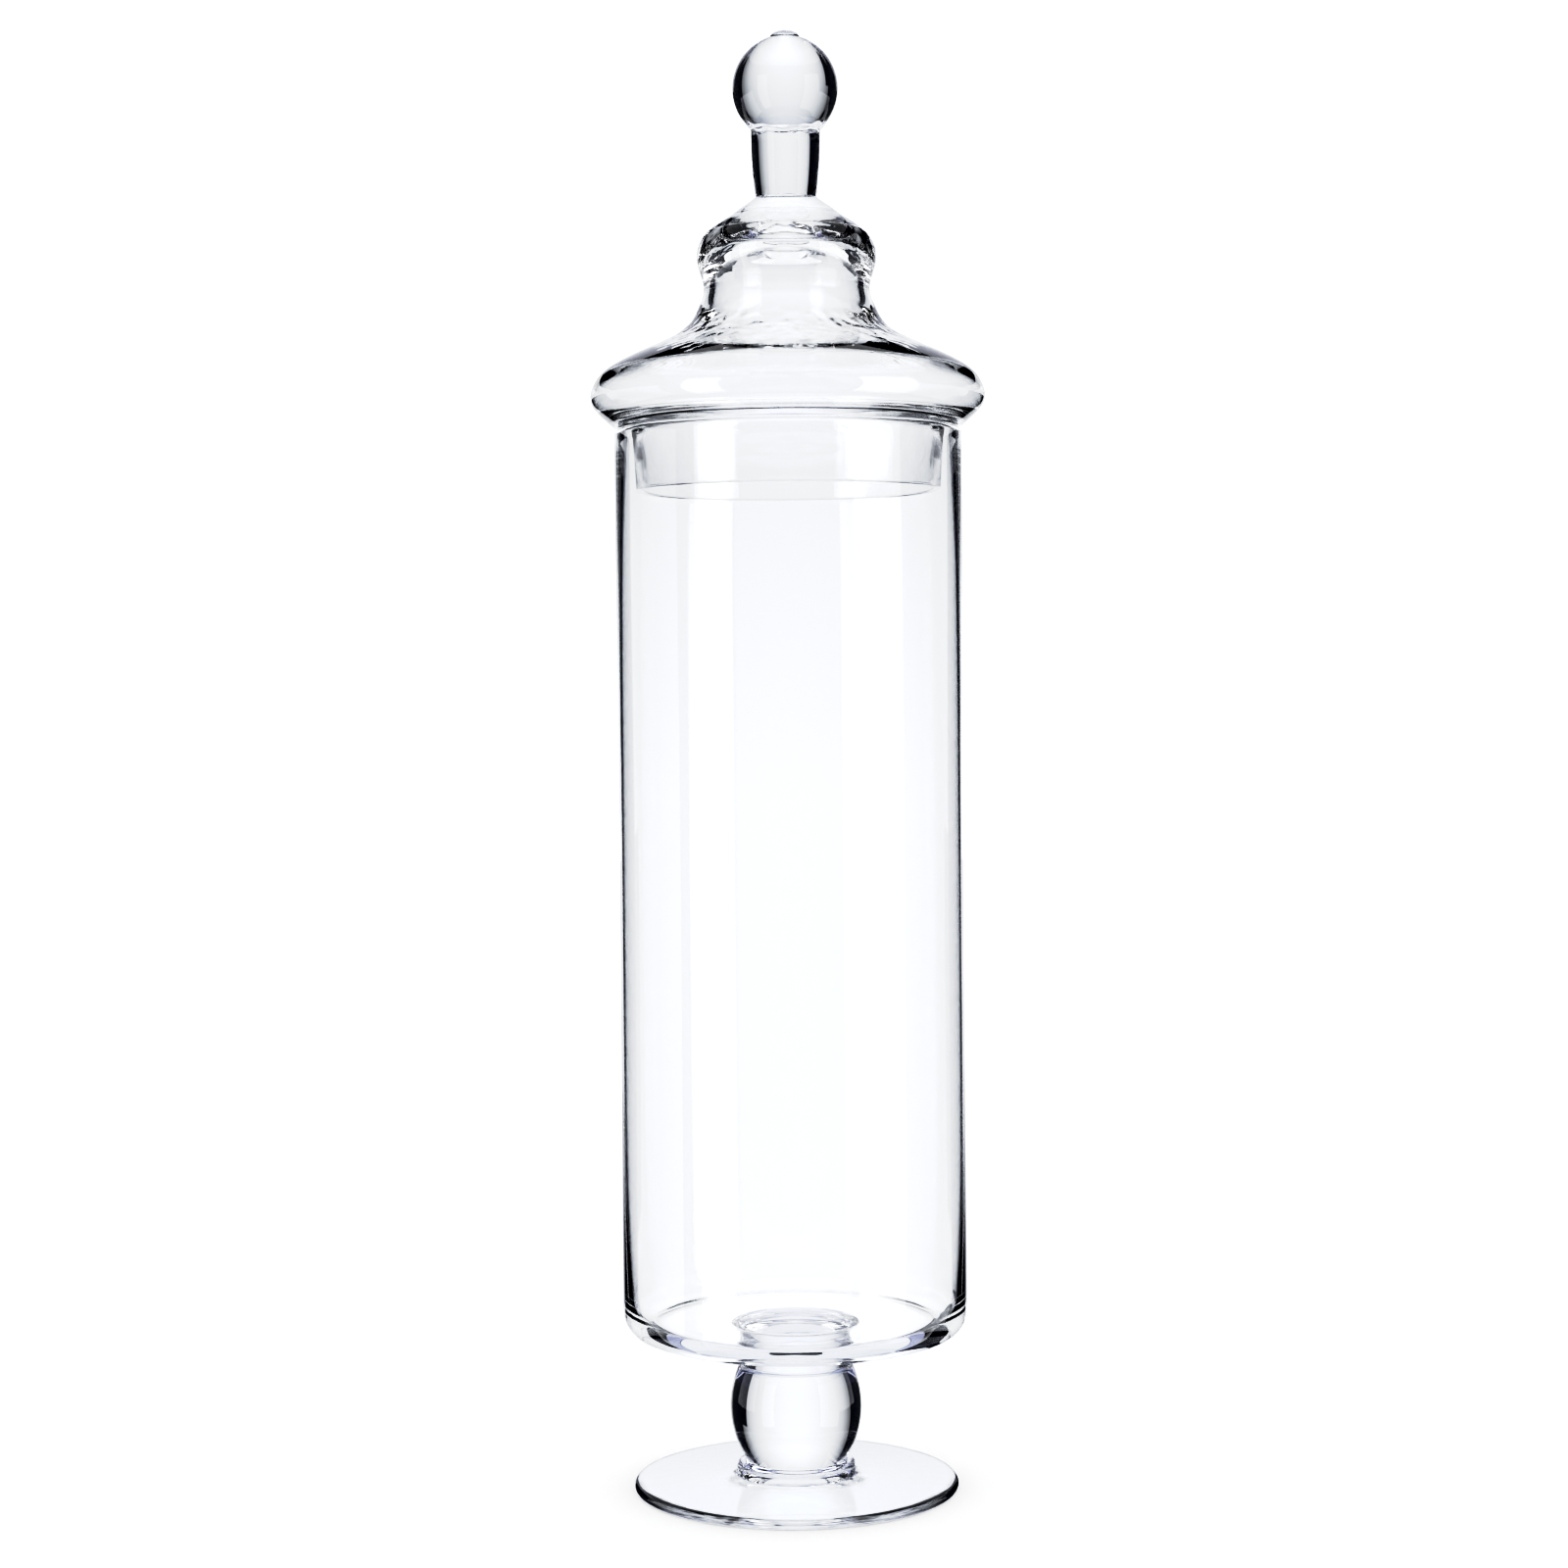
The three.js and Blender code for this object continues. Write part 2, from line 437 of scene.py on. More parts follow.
@dataclass
class GlassRack:
    """Every finish of the jar, by the record's slot, with the finish of a fused seam."""

    finishes: dict[Slot, GlassFinish]
    made: dict[Slot, bpy.types.Material] = field(default_factory=dict)
    seam: Optional[bpy.types.Material] = None

    def build(self) -> None:
        """Makes the materials."""
        striae = striae_group()
        handling = handling_group()
        for slot, finish in self.finishes.items():
            self.made[slot] = finish.build(striae, handling)
        self.seam = fused_seam()


def clear_glass_rack() -> GlassRack:
    """Chooses the finishes of clear glass with a faint cool tint."""
    return GlassRack({
        Slot.BLOWN: GlassFinish("blown_clear_glass", (0.995, 0.997, 1.0)),
        Slot.SOLID: GlassFinish("solid_clear_glass", (0.925, 0.931, 0.942)),
        Slot.FOOT: GlassFinish("foot_clear_glass", (0.90, 0.913, 0.938)),
        Slot.JOINT: GlassFinish("joint_clear_glass", (0.90, 0.912, 0.985), ripple=0.00006,
                                ripple_scale=90.0),
    })


# ---- Gathers ----


@dataclass(frozen=True)
class Seam:
    """A flat fused joint, given by its height and radius in millimetres."""

    height: float
    radius: float

    def holds(self, face: bmesh.types.BMFace) -> bool:
        """True if a face lies in the joint."""
        slack = 1e-3
        return all(
            abs(vert.co.z / MM - self.height) < slack
            and math.hypot(vert.co.x, vert.co.y) / MM < self.radius + slack
            for vert in face.verts
        )


def top_of(node: str) -> float:
    """Height of the top of a CAD node, in millimetres."""
    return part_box(node)[1][2] / MM


def bottom_of(node: str) -> float:
    """Height of the bottom of a CAD node, in millimetres."""
    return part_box(node)[0][2] / MM


def radius_of(node: str) -> float:
    """Largest radius of a CAD node, in millimetres."""
    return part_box(node)[1][0] / MM


def between(lower: str, upper: str) -> float:
    """Height half-way between two CAD nodes that are fused, in millimetres."""
    return (top_of(lower) + bottom_of(upper)) / 2


@dataclass
class Workshop:
    """What every sub-assembly needs: the finishes, the hand work and the list of pieces made.

    Args:
        rack: The finishes.
        hand: The unevenness that every piece gets.
        made: The pieces made so far.
        doublings: How many times a wedge is doubled to make a full turn.
    """

    rack: GlassRack
    hand: HandWork
    made: list[bpy.types.Object] = field(default_factory=list)
    doublings: int = 4

    def spun(self, outline: Outline, facets: int) -> bmesh.types.BMesh:
        """Spins an outline into one narrow wedge, and doubles the wedge until it goes all the way round.

        Args:
            outline: Half a section, which starts and ends on the axis.
            facets: Steps round the axis.

        Returns:
            The closed mesh, with its faces pointing outwards.
        """
        mesh = bmesh.new()
        ring = [mesh.verts.new((r * MM, 0.0, z * MM)) for r, z in outline.points]
        edges = [mesh.edges.new(pair) for pair in zip(ring, ring[1:])]
        wedges = 2**self.doublings
        angle = math.tau / wedges
        bmesh.ops.spin(mesh, geom=ring + edges, cent=(0, 0, 0), axis=(0, 0, 1),
                       angle=angle, steps=facets // wedges)
        for _ in range(self.doublings):
            copied = bmesh.ops.duplicate(mesh, geom=[*mesh.verts, *mesh.edges, *mesh.faces])["geom"]
            moved = [part for part in copied if isinstance(part, bmesh.types.BMVert)]
            bmesh.ops.rotate(mesh, cent=(0, 0, 0), matrix=Matrix.Rotation(angle, 3, "Z"), verts=moved)
            angle *= 2
        bmesh.ops.remove_doubles(mesh, verts=mesh.verts, dist=1e-7)
        bmesh.ops.recalc_face_normals(mesh, faces=mesh.faces)
        return mesh

    def turn(self, node: str, body: Body, slot: Slot, outline: Outline,
             seams: Iterable[Seam] = (), facets: int = FACETS) -> bpy.types.Object:
        """Turns an outline into a finished gather of glass that stands for its CAD node.

        Args:
            node: Name of the CAD node.
            body: The body it rides on.
            slot: The finish it takes.
            outline: Half its section, which starts and ends on the axis.
            seams: The fused joints that it shares with its neighbours.
            facets: Steps round the axis.

        Returns:
            The new object.
        """
        mesh = self.spun(outline, facets)
        for face in mesh.faces:
            face.smooth = True
            face.material_index = int(any(seam.holds(face) for seam in seams))
        for edge in mesh.edges:
            if len({face.material_index for face in edge.link_faces}) > 1:
                edge.smooth = False
        self.hand.work(mesh)
        data = new_mesh(node, mesh)
        data.materials.append(self.rack.made[slot])
        data.materials.append(self.rack.seam)
        piece = bpy.data.objects.new(f"{node}_glass", data)
        bpy.context.scene.collection.objects.link(piece)
        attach(piece, body.value)
        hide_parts(node)
        self.made.append(piece)
        LOG.info("turned %s, %d faces", piece.name, len(data.polygons))
        return piece


@dataclass
class FootedJar:
    """The footed jar: foot, two wafers, solid knop and blown body, in millimetres.

    Args:
        shop: Where its pieces are turned.
        edge: Half the thickness of the foot's edge.
        kick_radius: Inner radius of the ring that the foot stands on.
        kick_depth: Height of the hollow under the foot.
        cone_top: Radius at which the foot's cone ends.
        cone_bend: How far either side of that radius the underside bends.
        groove: How much the knop is drawn in where it meets the upper wafer.
        knop_half_height: Half height of the ellipse that the knop is cut from.
        knop_centre: Height of its centre.
        wafer_waist: Smallest radius of the upper wafer.
        waist: Radius of the body half-way up.
        waist_height: Height of that place.
        corner: Radius of the body's bottom corner.
        rim_wall: Thickness of the wall at the rim.
        floor_top: Height of the body's floor.
        floor_bump: Rise of the floor over the upper wafer.
    """

    shop: Workshop
    edge: float = 1.6
    kick_radius: float = 51.5
    kick_depth: float = 2.8
    cone_top: float = 24.0
    cone_bend: float = 3.0
    groove: float = 0.7
    knop_half_height: float = 28.5
    knop_centre: float = 29.0
    wafer_waist: float = 19.2
    waist: float = 59.8
    waist_height: float = 213.0
    corner: float = 8.4
    rim_wall: float = 3.4
    floor_top: float = 57.5
    floor_bump: float = 0.3

    def __post_init__(self) -> None:
        """Finds the fused joints from the frame."""
        self.foot_seam = Seam(between("jar_foot", "lower_wafer"), radius_of("lower_wafer") - 1.2)
        low = between("lower_wafer", "stem_knop")
        high = between("stem_knop", "upper_wafer")
        self.low_seam = Seam(low, self.knop_at(low))
        self.high_seam = Seam(high, self.knop_at(high) - self.groove)
        self.body_seam = Seam(between("upper_wafer", "jar_body"), radius_of("upper_wafer"))

    def knop_at(self, height: float) -> float:
        """Radius of the knop at a height."""
        rise = (height - self.knop_centre) / self.knop_half_height
        return radius_of("stem_knop") * math.sqrt(1 - rise * rise)

    def foot(self) -> None:
        """Makes the round foot, a low cone of even thickness that stands on a ring at its rounded edge."""
        flat = radius_of("jar_foot") - self.edge
        hub = self.foot_seam
        cone = self.kick_radius - self.cone_top
        bend = self.cone_bend
        outline = Outline(0, self.kick_depth).line(self.cone_top - bend, self.kick_depth, 4)
        outline.through((self.cone_top + bend, self.kick_depth * (1 - bend / cone)), steps=6)
        outline.line(self.kick_radius, 0.0, 8).line(flat, 0.0, 2)
        outline.arc((flat, self.edge), (self.edge, self.edge), -90, 90, 14)
        outline.line(self.kick_radius, 2 * self.edge + 0.3, 2)
        outline.line(self.cone_top, hub.height - 0.9, 8)
        outline.through((hub.radius + 1.5, hub.height - 0.5), (hub.radius, hub.height), steps=4)
        outline.line(0, hub.height, 6)
        self.shop.turn("jar_foot", Body.JAR, Slot.FOOT, outline, [hub], FINE_FACETS)

    def lower_wafer(self) -> None:
        """Makes the squashed ring between foot and knop."""
        low, high = self.foot_seam, self.low_seam
        wide = radius_of("lower_wafer")
        outline = Outline(0, low.height).line(low.radius, low.height, 6)
        outline.through((wide - 0.1, low.height + 0.9), (wide - 0.7, low.height + 2.1),
                        (high.radius + 0.7, high.height - 0.4), (high.radius, high.height))
        outline.line(0, high.height, 6)
        self.shop.turn("lower_wafer", Body.JAR, Slot.JOINT, outline, [low, high])

    def knop(self) -> None:
        """Makes the solid ball of the stem."""
        low, high = self.low_seam, self.high_seam
        outline = Outline(0, low.height).line(low.radius, low.height, 6)
        outline.arc((0, self.knop_centre), (radius_of("stem_knop"), self.knop_half_height),
                    climb(low.height - self.knop_centre, self.knop_half_height),
                    climb(high.height - self.groove - self.knop_centre, self.knop_half_height), 60)
        outline.fillet((high.radius + 0.3, high.height - 0.1), (high.radius, high.height), 4)
        outline.line(0, high.height, 6)
        self.shop.turn("stem_knop", Body.JAR, Slot.SOLID, outline, [low, high])

    def upper_wafer(self) -> None:
        """Makes the ring between knop and body."""
        low, high = self.high_seam, self.body_seam
        outline = Outline(0, low.height).line(low.radius, low.height, 6)
        outline.through((low.radius + 0.6, low.height + 0.8), (self.wafer_waist + 0.2, low.height + 2.6),
                        (self.wafer_waist + 0.9, high.height - 2.6), (high.radius, high.height))
        outline.line(0, high.height, 6)
        self.shop.turn("upper_wafer", Body.JAR, Slot.JOINT, outline, [low, high])

    def body(self) -> None:
        """Makes the blown body, thick at its mouth and floor and thin half-way up."""
        wide = radius_of("jar_body")
        top = top_of("jar_body")
        seam = self.body_seam
        flat = wide - self.corner
        lip = self.rim_wall / 2
        bore = wide - self.rim_wall
        outline = Outline(0, seam.height).line(seam.radius, seam.height, 6).line(flat, seam.height, 6)
        outline.arc((flat, seam.height + self.corner), (self.corner, self.corner), -90, 0, 24)
        outline.through((wide, 90), (self.waist, self.waist_height), (wide, 330), (wide, top - lip), steps=10)
        outline.arc((wide - lip, top - lip), (lip, lip), 0, 180, 16)
        outline.through((bore + 0.8, 345), (bore + 1.4, 316), (self.waist - 1.3, self.waist_height),
                        (bore + 1.6, 100), (bore + 0.8, 72), (bore - 0.1, 63.6), (bore - 2.4, 59.6),
                        (bore - 7, self.floor_top), (40, self.floor_top - 0.1),
                        (seam.radius + 3, self.floor_top + 0.1), steps=10)
        outline.through((seam.radius - 6, self.floor_top + self.floor_bump),
                        (0, self.floor_top + self.floor_bump), steps=10)
        self.shop.turn("jar_body", Body.JAR, Slot.BLOWN, outline, [seam], FINE_FACETS)

    def build(self) -> None:
        """Makes the whole footed jar."""
        self.foot()
        self.lower_wafer()
        self.knop()
        self.upper_wafer()
        self.body()


@dataclass
class Lid:
    """The lid: one blown shell, and a finial of solid gathers on top of it, in millimetres.

    Args:
        shop: Where its pieces are turned.
        plug_radius: Outer radius of the plug.
        plug_wall: Thickness of the plug's wall.
        plug_root: Height at which the plug widens into the flange.
        seat_gap: Gap between the flange and the rim under it.
        flange_centre: Height of the flange's widest place.
        ceiling: Height of the dome's ceiling.
        shoulder_radius: Radius of the joint of dome and shoulder.
        stem_waist: Smallest radius of the stem.
        ball_centre: Height of the ball's centre.
    """

    shop: Workshop
    plug_radius: float = 53.1
    plug_wall: float = 2.2
    plug_root: float = 367.5
    seat_gap: float = 0.3
    flange_centre: float = 382.0
    ceiling: float = 436.0
    shoulder_radius: float = 26.6
    stem_waist: float = 10.6
    ball_centre: float = 488.0

    def __post_init__(self) -> None:
        """Finds the fused joints from the frame."""
        self.dome_seam = Seam(between("lid_shell", "finial_shoulder"), self.shoulder_radius)
        self.stem_seam = Seam(between("finial_shoulder", "finial_stem"), self.stem_waist)
        self.collar_seam = Seam(between("finial_stem", "finial_collar"), radius_of("finial_stem"))
        low = between("finial_collar", "finial_ball")
        high = between("finial_ball", "finial_pip")
        self.ball_seam = Seam(low, self.ball_at(low))
        self.pip_seam = Seam(high, radius_of("finial_pip"))

    def ball_at(self, height: float) -> float:
        """Radius of the finial's ball at a height."""
        wide = radius_of("finial_ball")
        return math.sqrt(wide * wide - (height - self.ball_centre) ** 2)

    def shell(self) -> None:
        """Makes the dome, the hollow flange and the plug as one wall."""
        wide = radius_of("lid_shell") - 0.1
        low = bottom_of("lid_shell")
        seat = top_of("jar_body") + self.seat_gap
        bore = self.plug_radius - self.plug_wall
        edge = self.plug_wall / 2
        outline = Outline(0, self.ceiling)
        outline.through((15, self.ceiling - 0.6), (22.6, 431.6), (25.2, 425.5), (25, 419), (27.2, 411.5),
                        (32.6, 404.8), (42.4, 399.2), (54.6, 393.9), (63.4, 388.9),
                        (67.2, self.flange_centre), (64.4, 376.4), (56.5, 372.9),
                        (bore + 0.9, self.plug_root), (bore, low + edge))
        outline.arc((self.plug_radius - edge, low + edge), (edge, edge), 180, 360, 14)
        outline.line(self.plug_radius + 0.9, self.plug_root, 4)
        outline.fillet((self.plug_radius + 1.4, seat), (self.plug_radius + 3.8, seat))
        outline.line(radius_of("jar_body") - 0.4, seat, 3)
        outline.through((64.5, 375.2), (wide - 0.9, 378.6), (wide, self.flange_centre),
                        (wide - 0.9, 385.6), (64.5, 390), (55.6, 395.5), (43.4, 401), (34.6, 406.4),
                        (30.6, 413), (28.8, 419.4), (30.6, 426.5), (30.6, 433.6),
                        (27.4, self.dome_seam.height - 0.5), (self.dome_seam.radius, self.dome_seam.height))
        outline.line(0, self.dome_seam.height, 6)
        self.shop.turn("lid_shell", Body.LID, Slot.BLOWN, outline, [self.dome_seam], FINE_FACETS)

    def shoulder(self) -> None:
        """Makes the gather that spreads over the dome."""
        low, high = self.dome_seam, self.stem_seam
        outline = Outline(0, low.height).line(low.radius, low.height, 8)
        outline.through((23.3, 441.8), (18.9, 444.6), (15.6, 447.1), (12.4, 449.3),
                        (high.radius, high.height))
        outline.line(0, high.height, 5)
        self.shop.turn("finial_shoulder", Body.LID, Slot.SOLID, outline, [low, high])

    def stem(self) -> None:
        """Makes the solid neck."""
        low, high = self.stem_seam, self.collar_seam
        outline = Outline(0, low.height).line(low.radius, low.height, 5)
        outline.through((11.2, 456), (11.75, 464), (high.radius, high.height))
        outline.line(0, high.height, 5)
        self.shop.turn("finial_stem", Body.LID, Slot.SOLID, outline, [low, high])

    def collar(self) -> None:
        """Makes the thin ring under the ball."""
        low, high = self.collar_seam, self.ball_seam
        wide = radius_of("finial_collar")
        outline = Outline(0, low.height).line(low.radius, low.height, 5)
        outline.through((wide, (low.height + high.height) / 2), (high.radius, high.height))
        outline.line(0, high.height, 5)
        self.shop.turn("finial_collar", Body.LID, Slot.JOINT, outline, [low, high])

    def ball(self) -> None:
        """Makes the solid ball."""
        low, high = self.ball_seam, self.pip_seam
        wide = radius_of("finial_ball")
        outline = Outline(0, low.height).line(low.radius, low.height, 5)
        outline.arc((0, self.ball_centre), (wide, wide), climb(low.height - self.ball_centre, wide),
                    climb(high.height - self.ball_centre, wide), 60)
        outline.line(0, high.height, 4)
        self.shop.turn("finial_ball", Body.LID, Slot.SOLID, outline, [low, high])

    def pip(self) -> None:
        """Makes the small button on top of the ball."""
        low = self.pip_seam
        rise = top_of("finial_pip") - low.height
        wide = self.ball_at(low.height)
        outline = Outline(0, low.height).line(wide, low.height, 4)
        outline.arc((0, low.height), (wide, rise), 0, 90, 16)
        self.shop.turn("finial_pip", Body.LID, Slot.SOLID, outline, [low], COARSE_FACETS)

    def build(self) -> None:
        """Makes the whole lid."""
        self.shell()
        self.shoulder()
        self.stem()
        self.collar()
        self.ball()
        self.pip()


# ---- Studio ----


@dataclass
class StudioCamera:
    """A camera on a tripod a little above the jar's middle, looking slightly down.

    Args:
        distance: How far in front of the jar's axis it stands, in metres.
        height: How high it stands.
        sideways: How far to the right of the axis it stands.
        pitch: How far down it looks, in degrees.
        roll: How far it is tipped.
        lens: Focal length, in millimetres.
        sensor: Width of its sensor, in millimetres.
    """

    distance: float = 1.1039
    height: float = 0.2953
    sideways: float = -0.0024
    pitch: float = 2.48
    roll: float = -0.49
    lens: float = 72.7
    sensor: float = 36.0

    def build(self) -> bpy.types.Object:
        """Makes the camera and gives it to the scene."""
        data = bpy.data.cameras.new("studio_camera")
        data.lens = self.lens
        data.sensor_width = self.sensor
        data.clip_start = 0.01
        data.clip_end = 50.0
        camera = bpy.data.objects.new("studio_camera", data)
        look = Matrix.Rotation(math.radians(90 - self.pitch), 4, "X")
        tip = Matrix.Rotation(math.radians(self.roll), 4, "Z")
        camera.matrix_world = Matrix.Translation((self.sideways, -self.distance, self.height)) @ look @ tip
        bpy.context.scene.collection.objects.link(camera)
        bpy.context.scene.camera = camera
        return camera


def reckoned(tree: bpy.types.NodeTree, operation: str,
             *values: bpy.types.NodeSocket | float) -> bpy.types.NodeSocket:
    """Adds a Math node.

    Args:
        tree: The nodes that it joins.
        operation: What it works out.
        values: The socket or number that each of its inputs takes, in order.

    Returns:
        Its result.
    """
    node = tree.nodes.new("ShaderNodeMath")
    node.operation = operation
    for socket, value in zip(node.inputs, values):
        if isinstance(value, bpy.types.NodeSocket):
            tree.links.new(value, socket)
        else:
            socket.default_value = value
    return node.outputs["Value"]


def blended(tree: bpy.types.NodeTree, share: bpy.types.NodeSocket, first: bpy.types.NodeSocket | Colour,
            second: bpy.types.NodeSocket | Colour) -> bpy.types.NodeSocket:
    """Adds a Mix node for two colours.

    Args:
        tree: The nodes that it joins.
        share: How much of the second colour there is, from 0 to 1.
        first: The colour at a share of 0.
        second: The colour at a share of 1.

    Returns:
        The colour between them.
    """
    mix = tree.nodes.new("ShaderNodeMix")
    mix.data_type = "RGBA"
    tree.links.new(share, mix.inputs["Factor"])
    for name, colour in (("A", first), ("B", second)):
        if isinstance(colour, bpy.types.NodeSocket):
            tree.links.new(colour, mix.inputs[name])
        else:
            mix.inputs[name].default_value = (*colour, 1.0)
    return mix.outputs["Result"]


def first_bounce_mask(tree: bpy.types.NodeTree) -> bpy.types.NodeSocket:
    """Adds nodes that tell light which has already met the floor from light that hasn't.

    Args:
        tree: A material's or the world's nodes.

    Returns:
        A value of 1 on a path that has scattered off a matt surface, and 0 on any other.
    """
    path = tree.nodes.new("ShaderNodeLightPath")
    return reckoned(tree, "GREATER_THAN", path.outputs["Diffuse Depth"], 0.5)


def pulled(sheet: bmesh.types.BMesh, edge: bmesh.types.BMEdge,
           step: tuple[float, float, float]) -> bmesh.types.BMEdge:
    """Extrudes an edge by a step and returns the new edge."""
    drawn = bmesh.ops.extrude_edge_only(sheet, edges=[edge])["geom"]
    far = next(part for part in drawn if isinstance(part, bmesh.types.BMEdge))
    bmesh.ops.translate(sheet, vec=step, verts=far.verts)
    return far


class Sheet(ABC):
    """A sheet of the studio that only the glass sees."""

    name: str
    mirrored: bool = False

    @abstractmethod
    def mesh(self) -> bpy.types.Mesh:
        """Makes the sheet's mesh."""

    @abstractmethod
    def shade(self, tree: bpy.types.NodeTree) -> bpy.types.NodeSocket:
        """Adds the nodes of the sheet's colour."""


class PlainSheet(Sheet):
    """A sheet of one colour."""

    colour: Colour

    def shade(self, tree: bpy.types.NodeTree) -> bpy.types.NodeSocket:
        """Adds the node of the sheet's colour."""
        plain = tree.nodes.new("ShaderNodeRGB")
        plain.outputs["Color"].default_value = (*self.colour, 1.0)
        return plain.outputs["Color"]


@dataclass(frozen=True)
class Panel(PlainSheet):
    """A flat upright panel.

    Args:
        name: Name of the panel.
        left: Place of its left end on the plan, with the camera towards -Y, in metres.
        right: Place of its right end.
        low: Height of its bottom.
        high: Height of its top.
        colour: Light that it sends out.
        mirrored: True if only what the glass mirrors sees it, and what it refracts looks through it.
    """

    name: str
    left: tuple[float, float]
    right: tuple[float, float]
    low: float
    high: float
    colour: Colour
    mirrored: bool = False

    def mesh(self) -> bpy.types.Mesh:
        """Makes the panel's mesh."""
        sheet = bmesh.new()
        foot = sheet.edges.new([sheet.verts.new((*place, self.low)) for place in (self.left, self.right)])
        pulled(sheet, foot, (0.0, 0.0, self.high - self.low))
        return new_mesh(self.name, sheet)


def panel_pair(name: str, inner: tuple[float, float], outer: tuple[float, float], low: float, high: float,
               colour: Colour, mirrored: bool = False) -> list[Panel]:
    """Makes a panel on the right of the jar and its mirror image on the left.

    Args:
        name: Name that both share.
        inner: Place of the right panel's first end on the plan, in metres.
        outer: Place of its other end.
        low: Height of the bottom.
        high: Height of the top.
        colour: Light that they send out.
        mirrored: True if only what the glass mirrors sees them.

    Returns:
        The left and the right panel.
    """
    return [
        Panel(f"{side}_{name}", (turn * inner[0], inner[1]), (turn * outer[0], outer[1]), low, high,
              colour, mirrored)
        for side, turn in (("left", -1), ("right", 1))
    ]


@dataclass(frozen=True)
class Sweep(Sheet):
    """A lit backdrop far behind the jar that runs forward underneath it.

    Args:
        name: Name of the sweep.
        back: How far behind the jar it hangs, in metres.
        front: Where its front edge lies behind the jar's axis.
        drop: How far under the floor it lies.
        height: How high it hangs.
        even: Sideways slope, seen from the jar, up to which it is lit evenly.
        reach: Sideways slope at which its light ends.
        fade_from: Height at which its light begins to dim.
        fade_to: Height at which it has dimmed.
        low: Colour of its light at the floor.
        high: Colour of its light at its top.
    """

    name: str
    back: float = 1.0
    front: float = 0.02
    drop: float = 0.3
    height: float = 1.6
    even: float = 0.02
    reach: float = 1.3
    fade_from: float = 0.2
    fade_to: float = 1.3
    low: Colour = (1.11, 1.13, 1.165)
    high: Colour = (0.60, 0.62, 0.65)

    def mesh(self) -> bpy.types.Mesh:
        """Makes the bent sheet."""
        sheet = bmesh.new()
        wide = self.reach * self.back
        edge = sheet.edges.new([sheet.verts.new((x, self.back, self.height)) for x in (-wide, wide)])
        for step in ((0.0, 0.0, -self.height - self.drop), (0.0, self.front - self.back, 0.0)):
            edge = pulled(sheet, edge, step)
        return new_mesh(self.name, sheet)

    def shade(self, tree: bpy.types.NodeTree) -> bpy.types.NodeSocket:
        """Adds the nodes of the sweep's colour, which dims towards its sides and its top."""
        place = tree.nodes.new("ShaderNodeTexCoord")
        parts = tree.nodes.new("ShaderNodeSeparateXYZ")
        tree.links.new(place.outputs["Object"], parts.inputs[0])
        slope = reckoned(tree, "DIVIDE", parts.outputs["X"], parts.outputs["Y"])
        dim = tree.nodes.new("ShaderNodeMapRange")
        dim.interpolation_type = "SMOOTHSTEP"
        dim.inputs["From Min"].default_value = self.even
        dim.inputs["From Max"].default_value = self.reach
        dim.inputs["To Min"].default_value = 1.0
        dim.inputs["To Max"].default_value = 0.0
        tree.links.new(reckoned(tree, "ABSOLUTE", slope), dim.inputs["Value"])
        rise = tree.nodes.new("ShaderNodeMapRange")
        rise.inputs["From Min"].default_value = self.fade_from
        rise.inputs["From Max"].default_value = self.fade_to
        tree.links.new(parts.outputs["Z"], rise.inputs["Value"])
        tone = blended(tree, rise.outputs["Result"], self.low, self.high)
        return blended(tree, dim.outputs["Result"], (0.0, 0.0, 0.0), tone)


@dataclass(frozen=True)
class Disc(PlainSheet):
    """A round card, or a ring, that lies level above or below the jar.

    Args:
        name: Name of the disc.
        inner: Radius of its hole, or 0, in metres.
        outer: Radius of its edge.
        height: Height of its face.
        colour: Light that it sends out.
    """

    name: str
    inner: float
    outer: float
    height: float
    colour: Colour

    def mesh(self) -> bpy.types.Mesh:
        """Makes the disc by spinning one radius."""
        sheet = bmesh.new()
        line = [sheet.verts.new((x, 0.0, self.height)) for x in (self.inner, self.outer)]
        edge = sheet.edges.new(line)
        bmesh.ops.spin(sheet, geom=[*line, edge], cent=(0, 0, 0), axis=(0, 0, 1),
                       angle=math.tau, steps=COARSE_FACETS, use_merge=True)
        bmesh.ops.remove_doubles(sheet, verts=sheet.verts, dist=1e-6)
        return new_mesh(self.name, sheet)


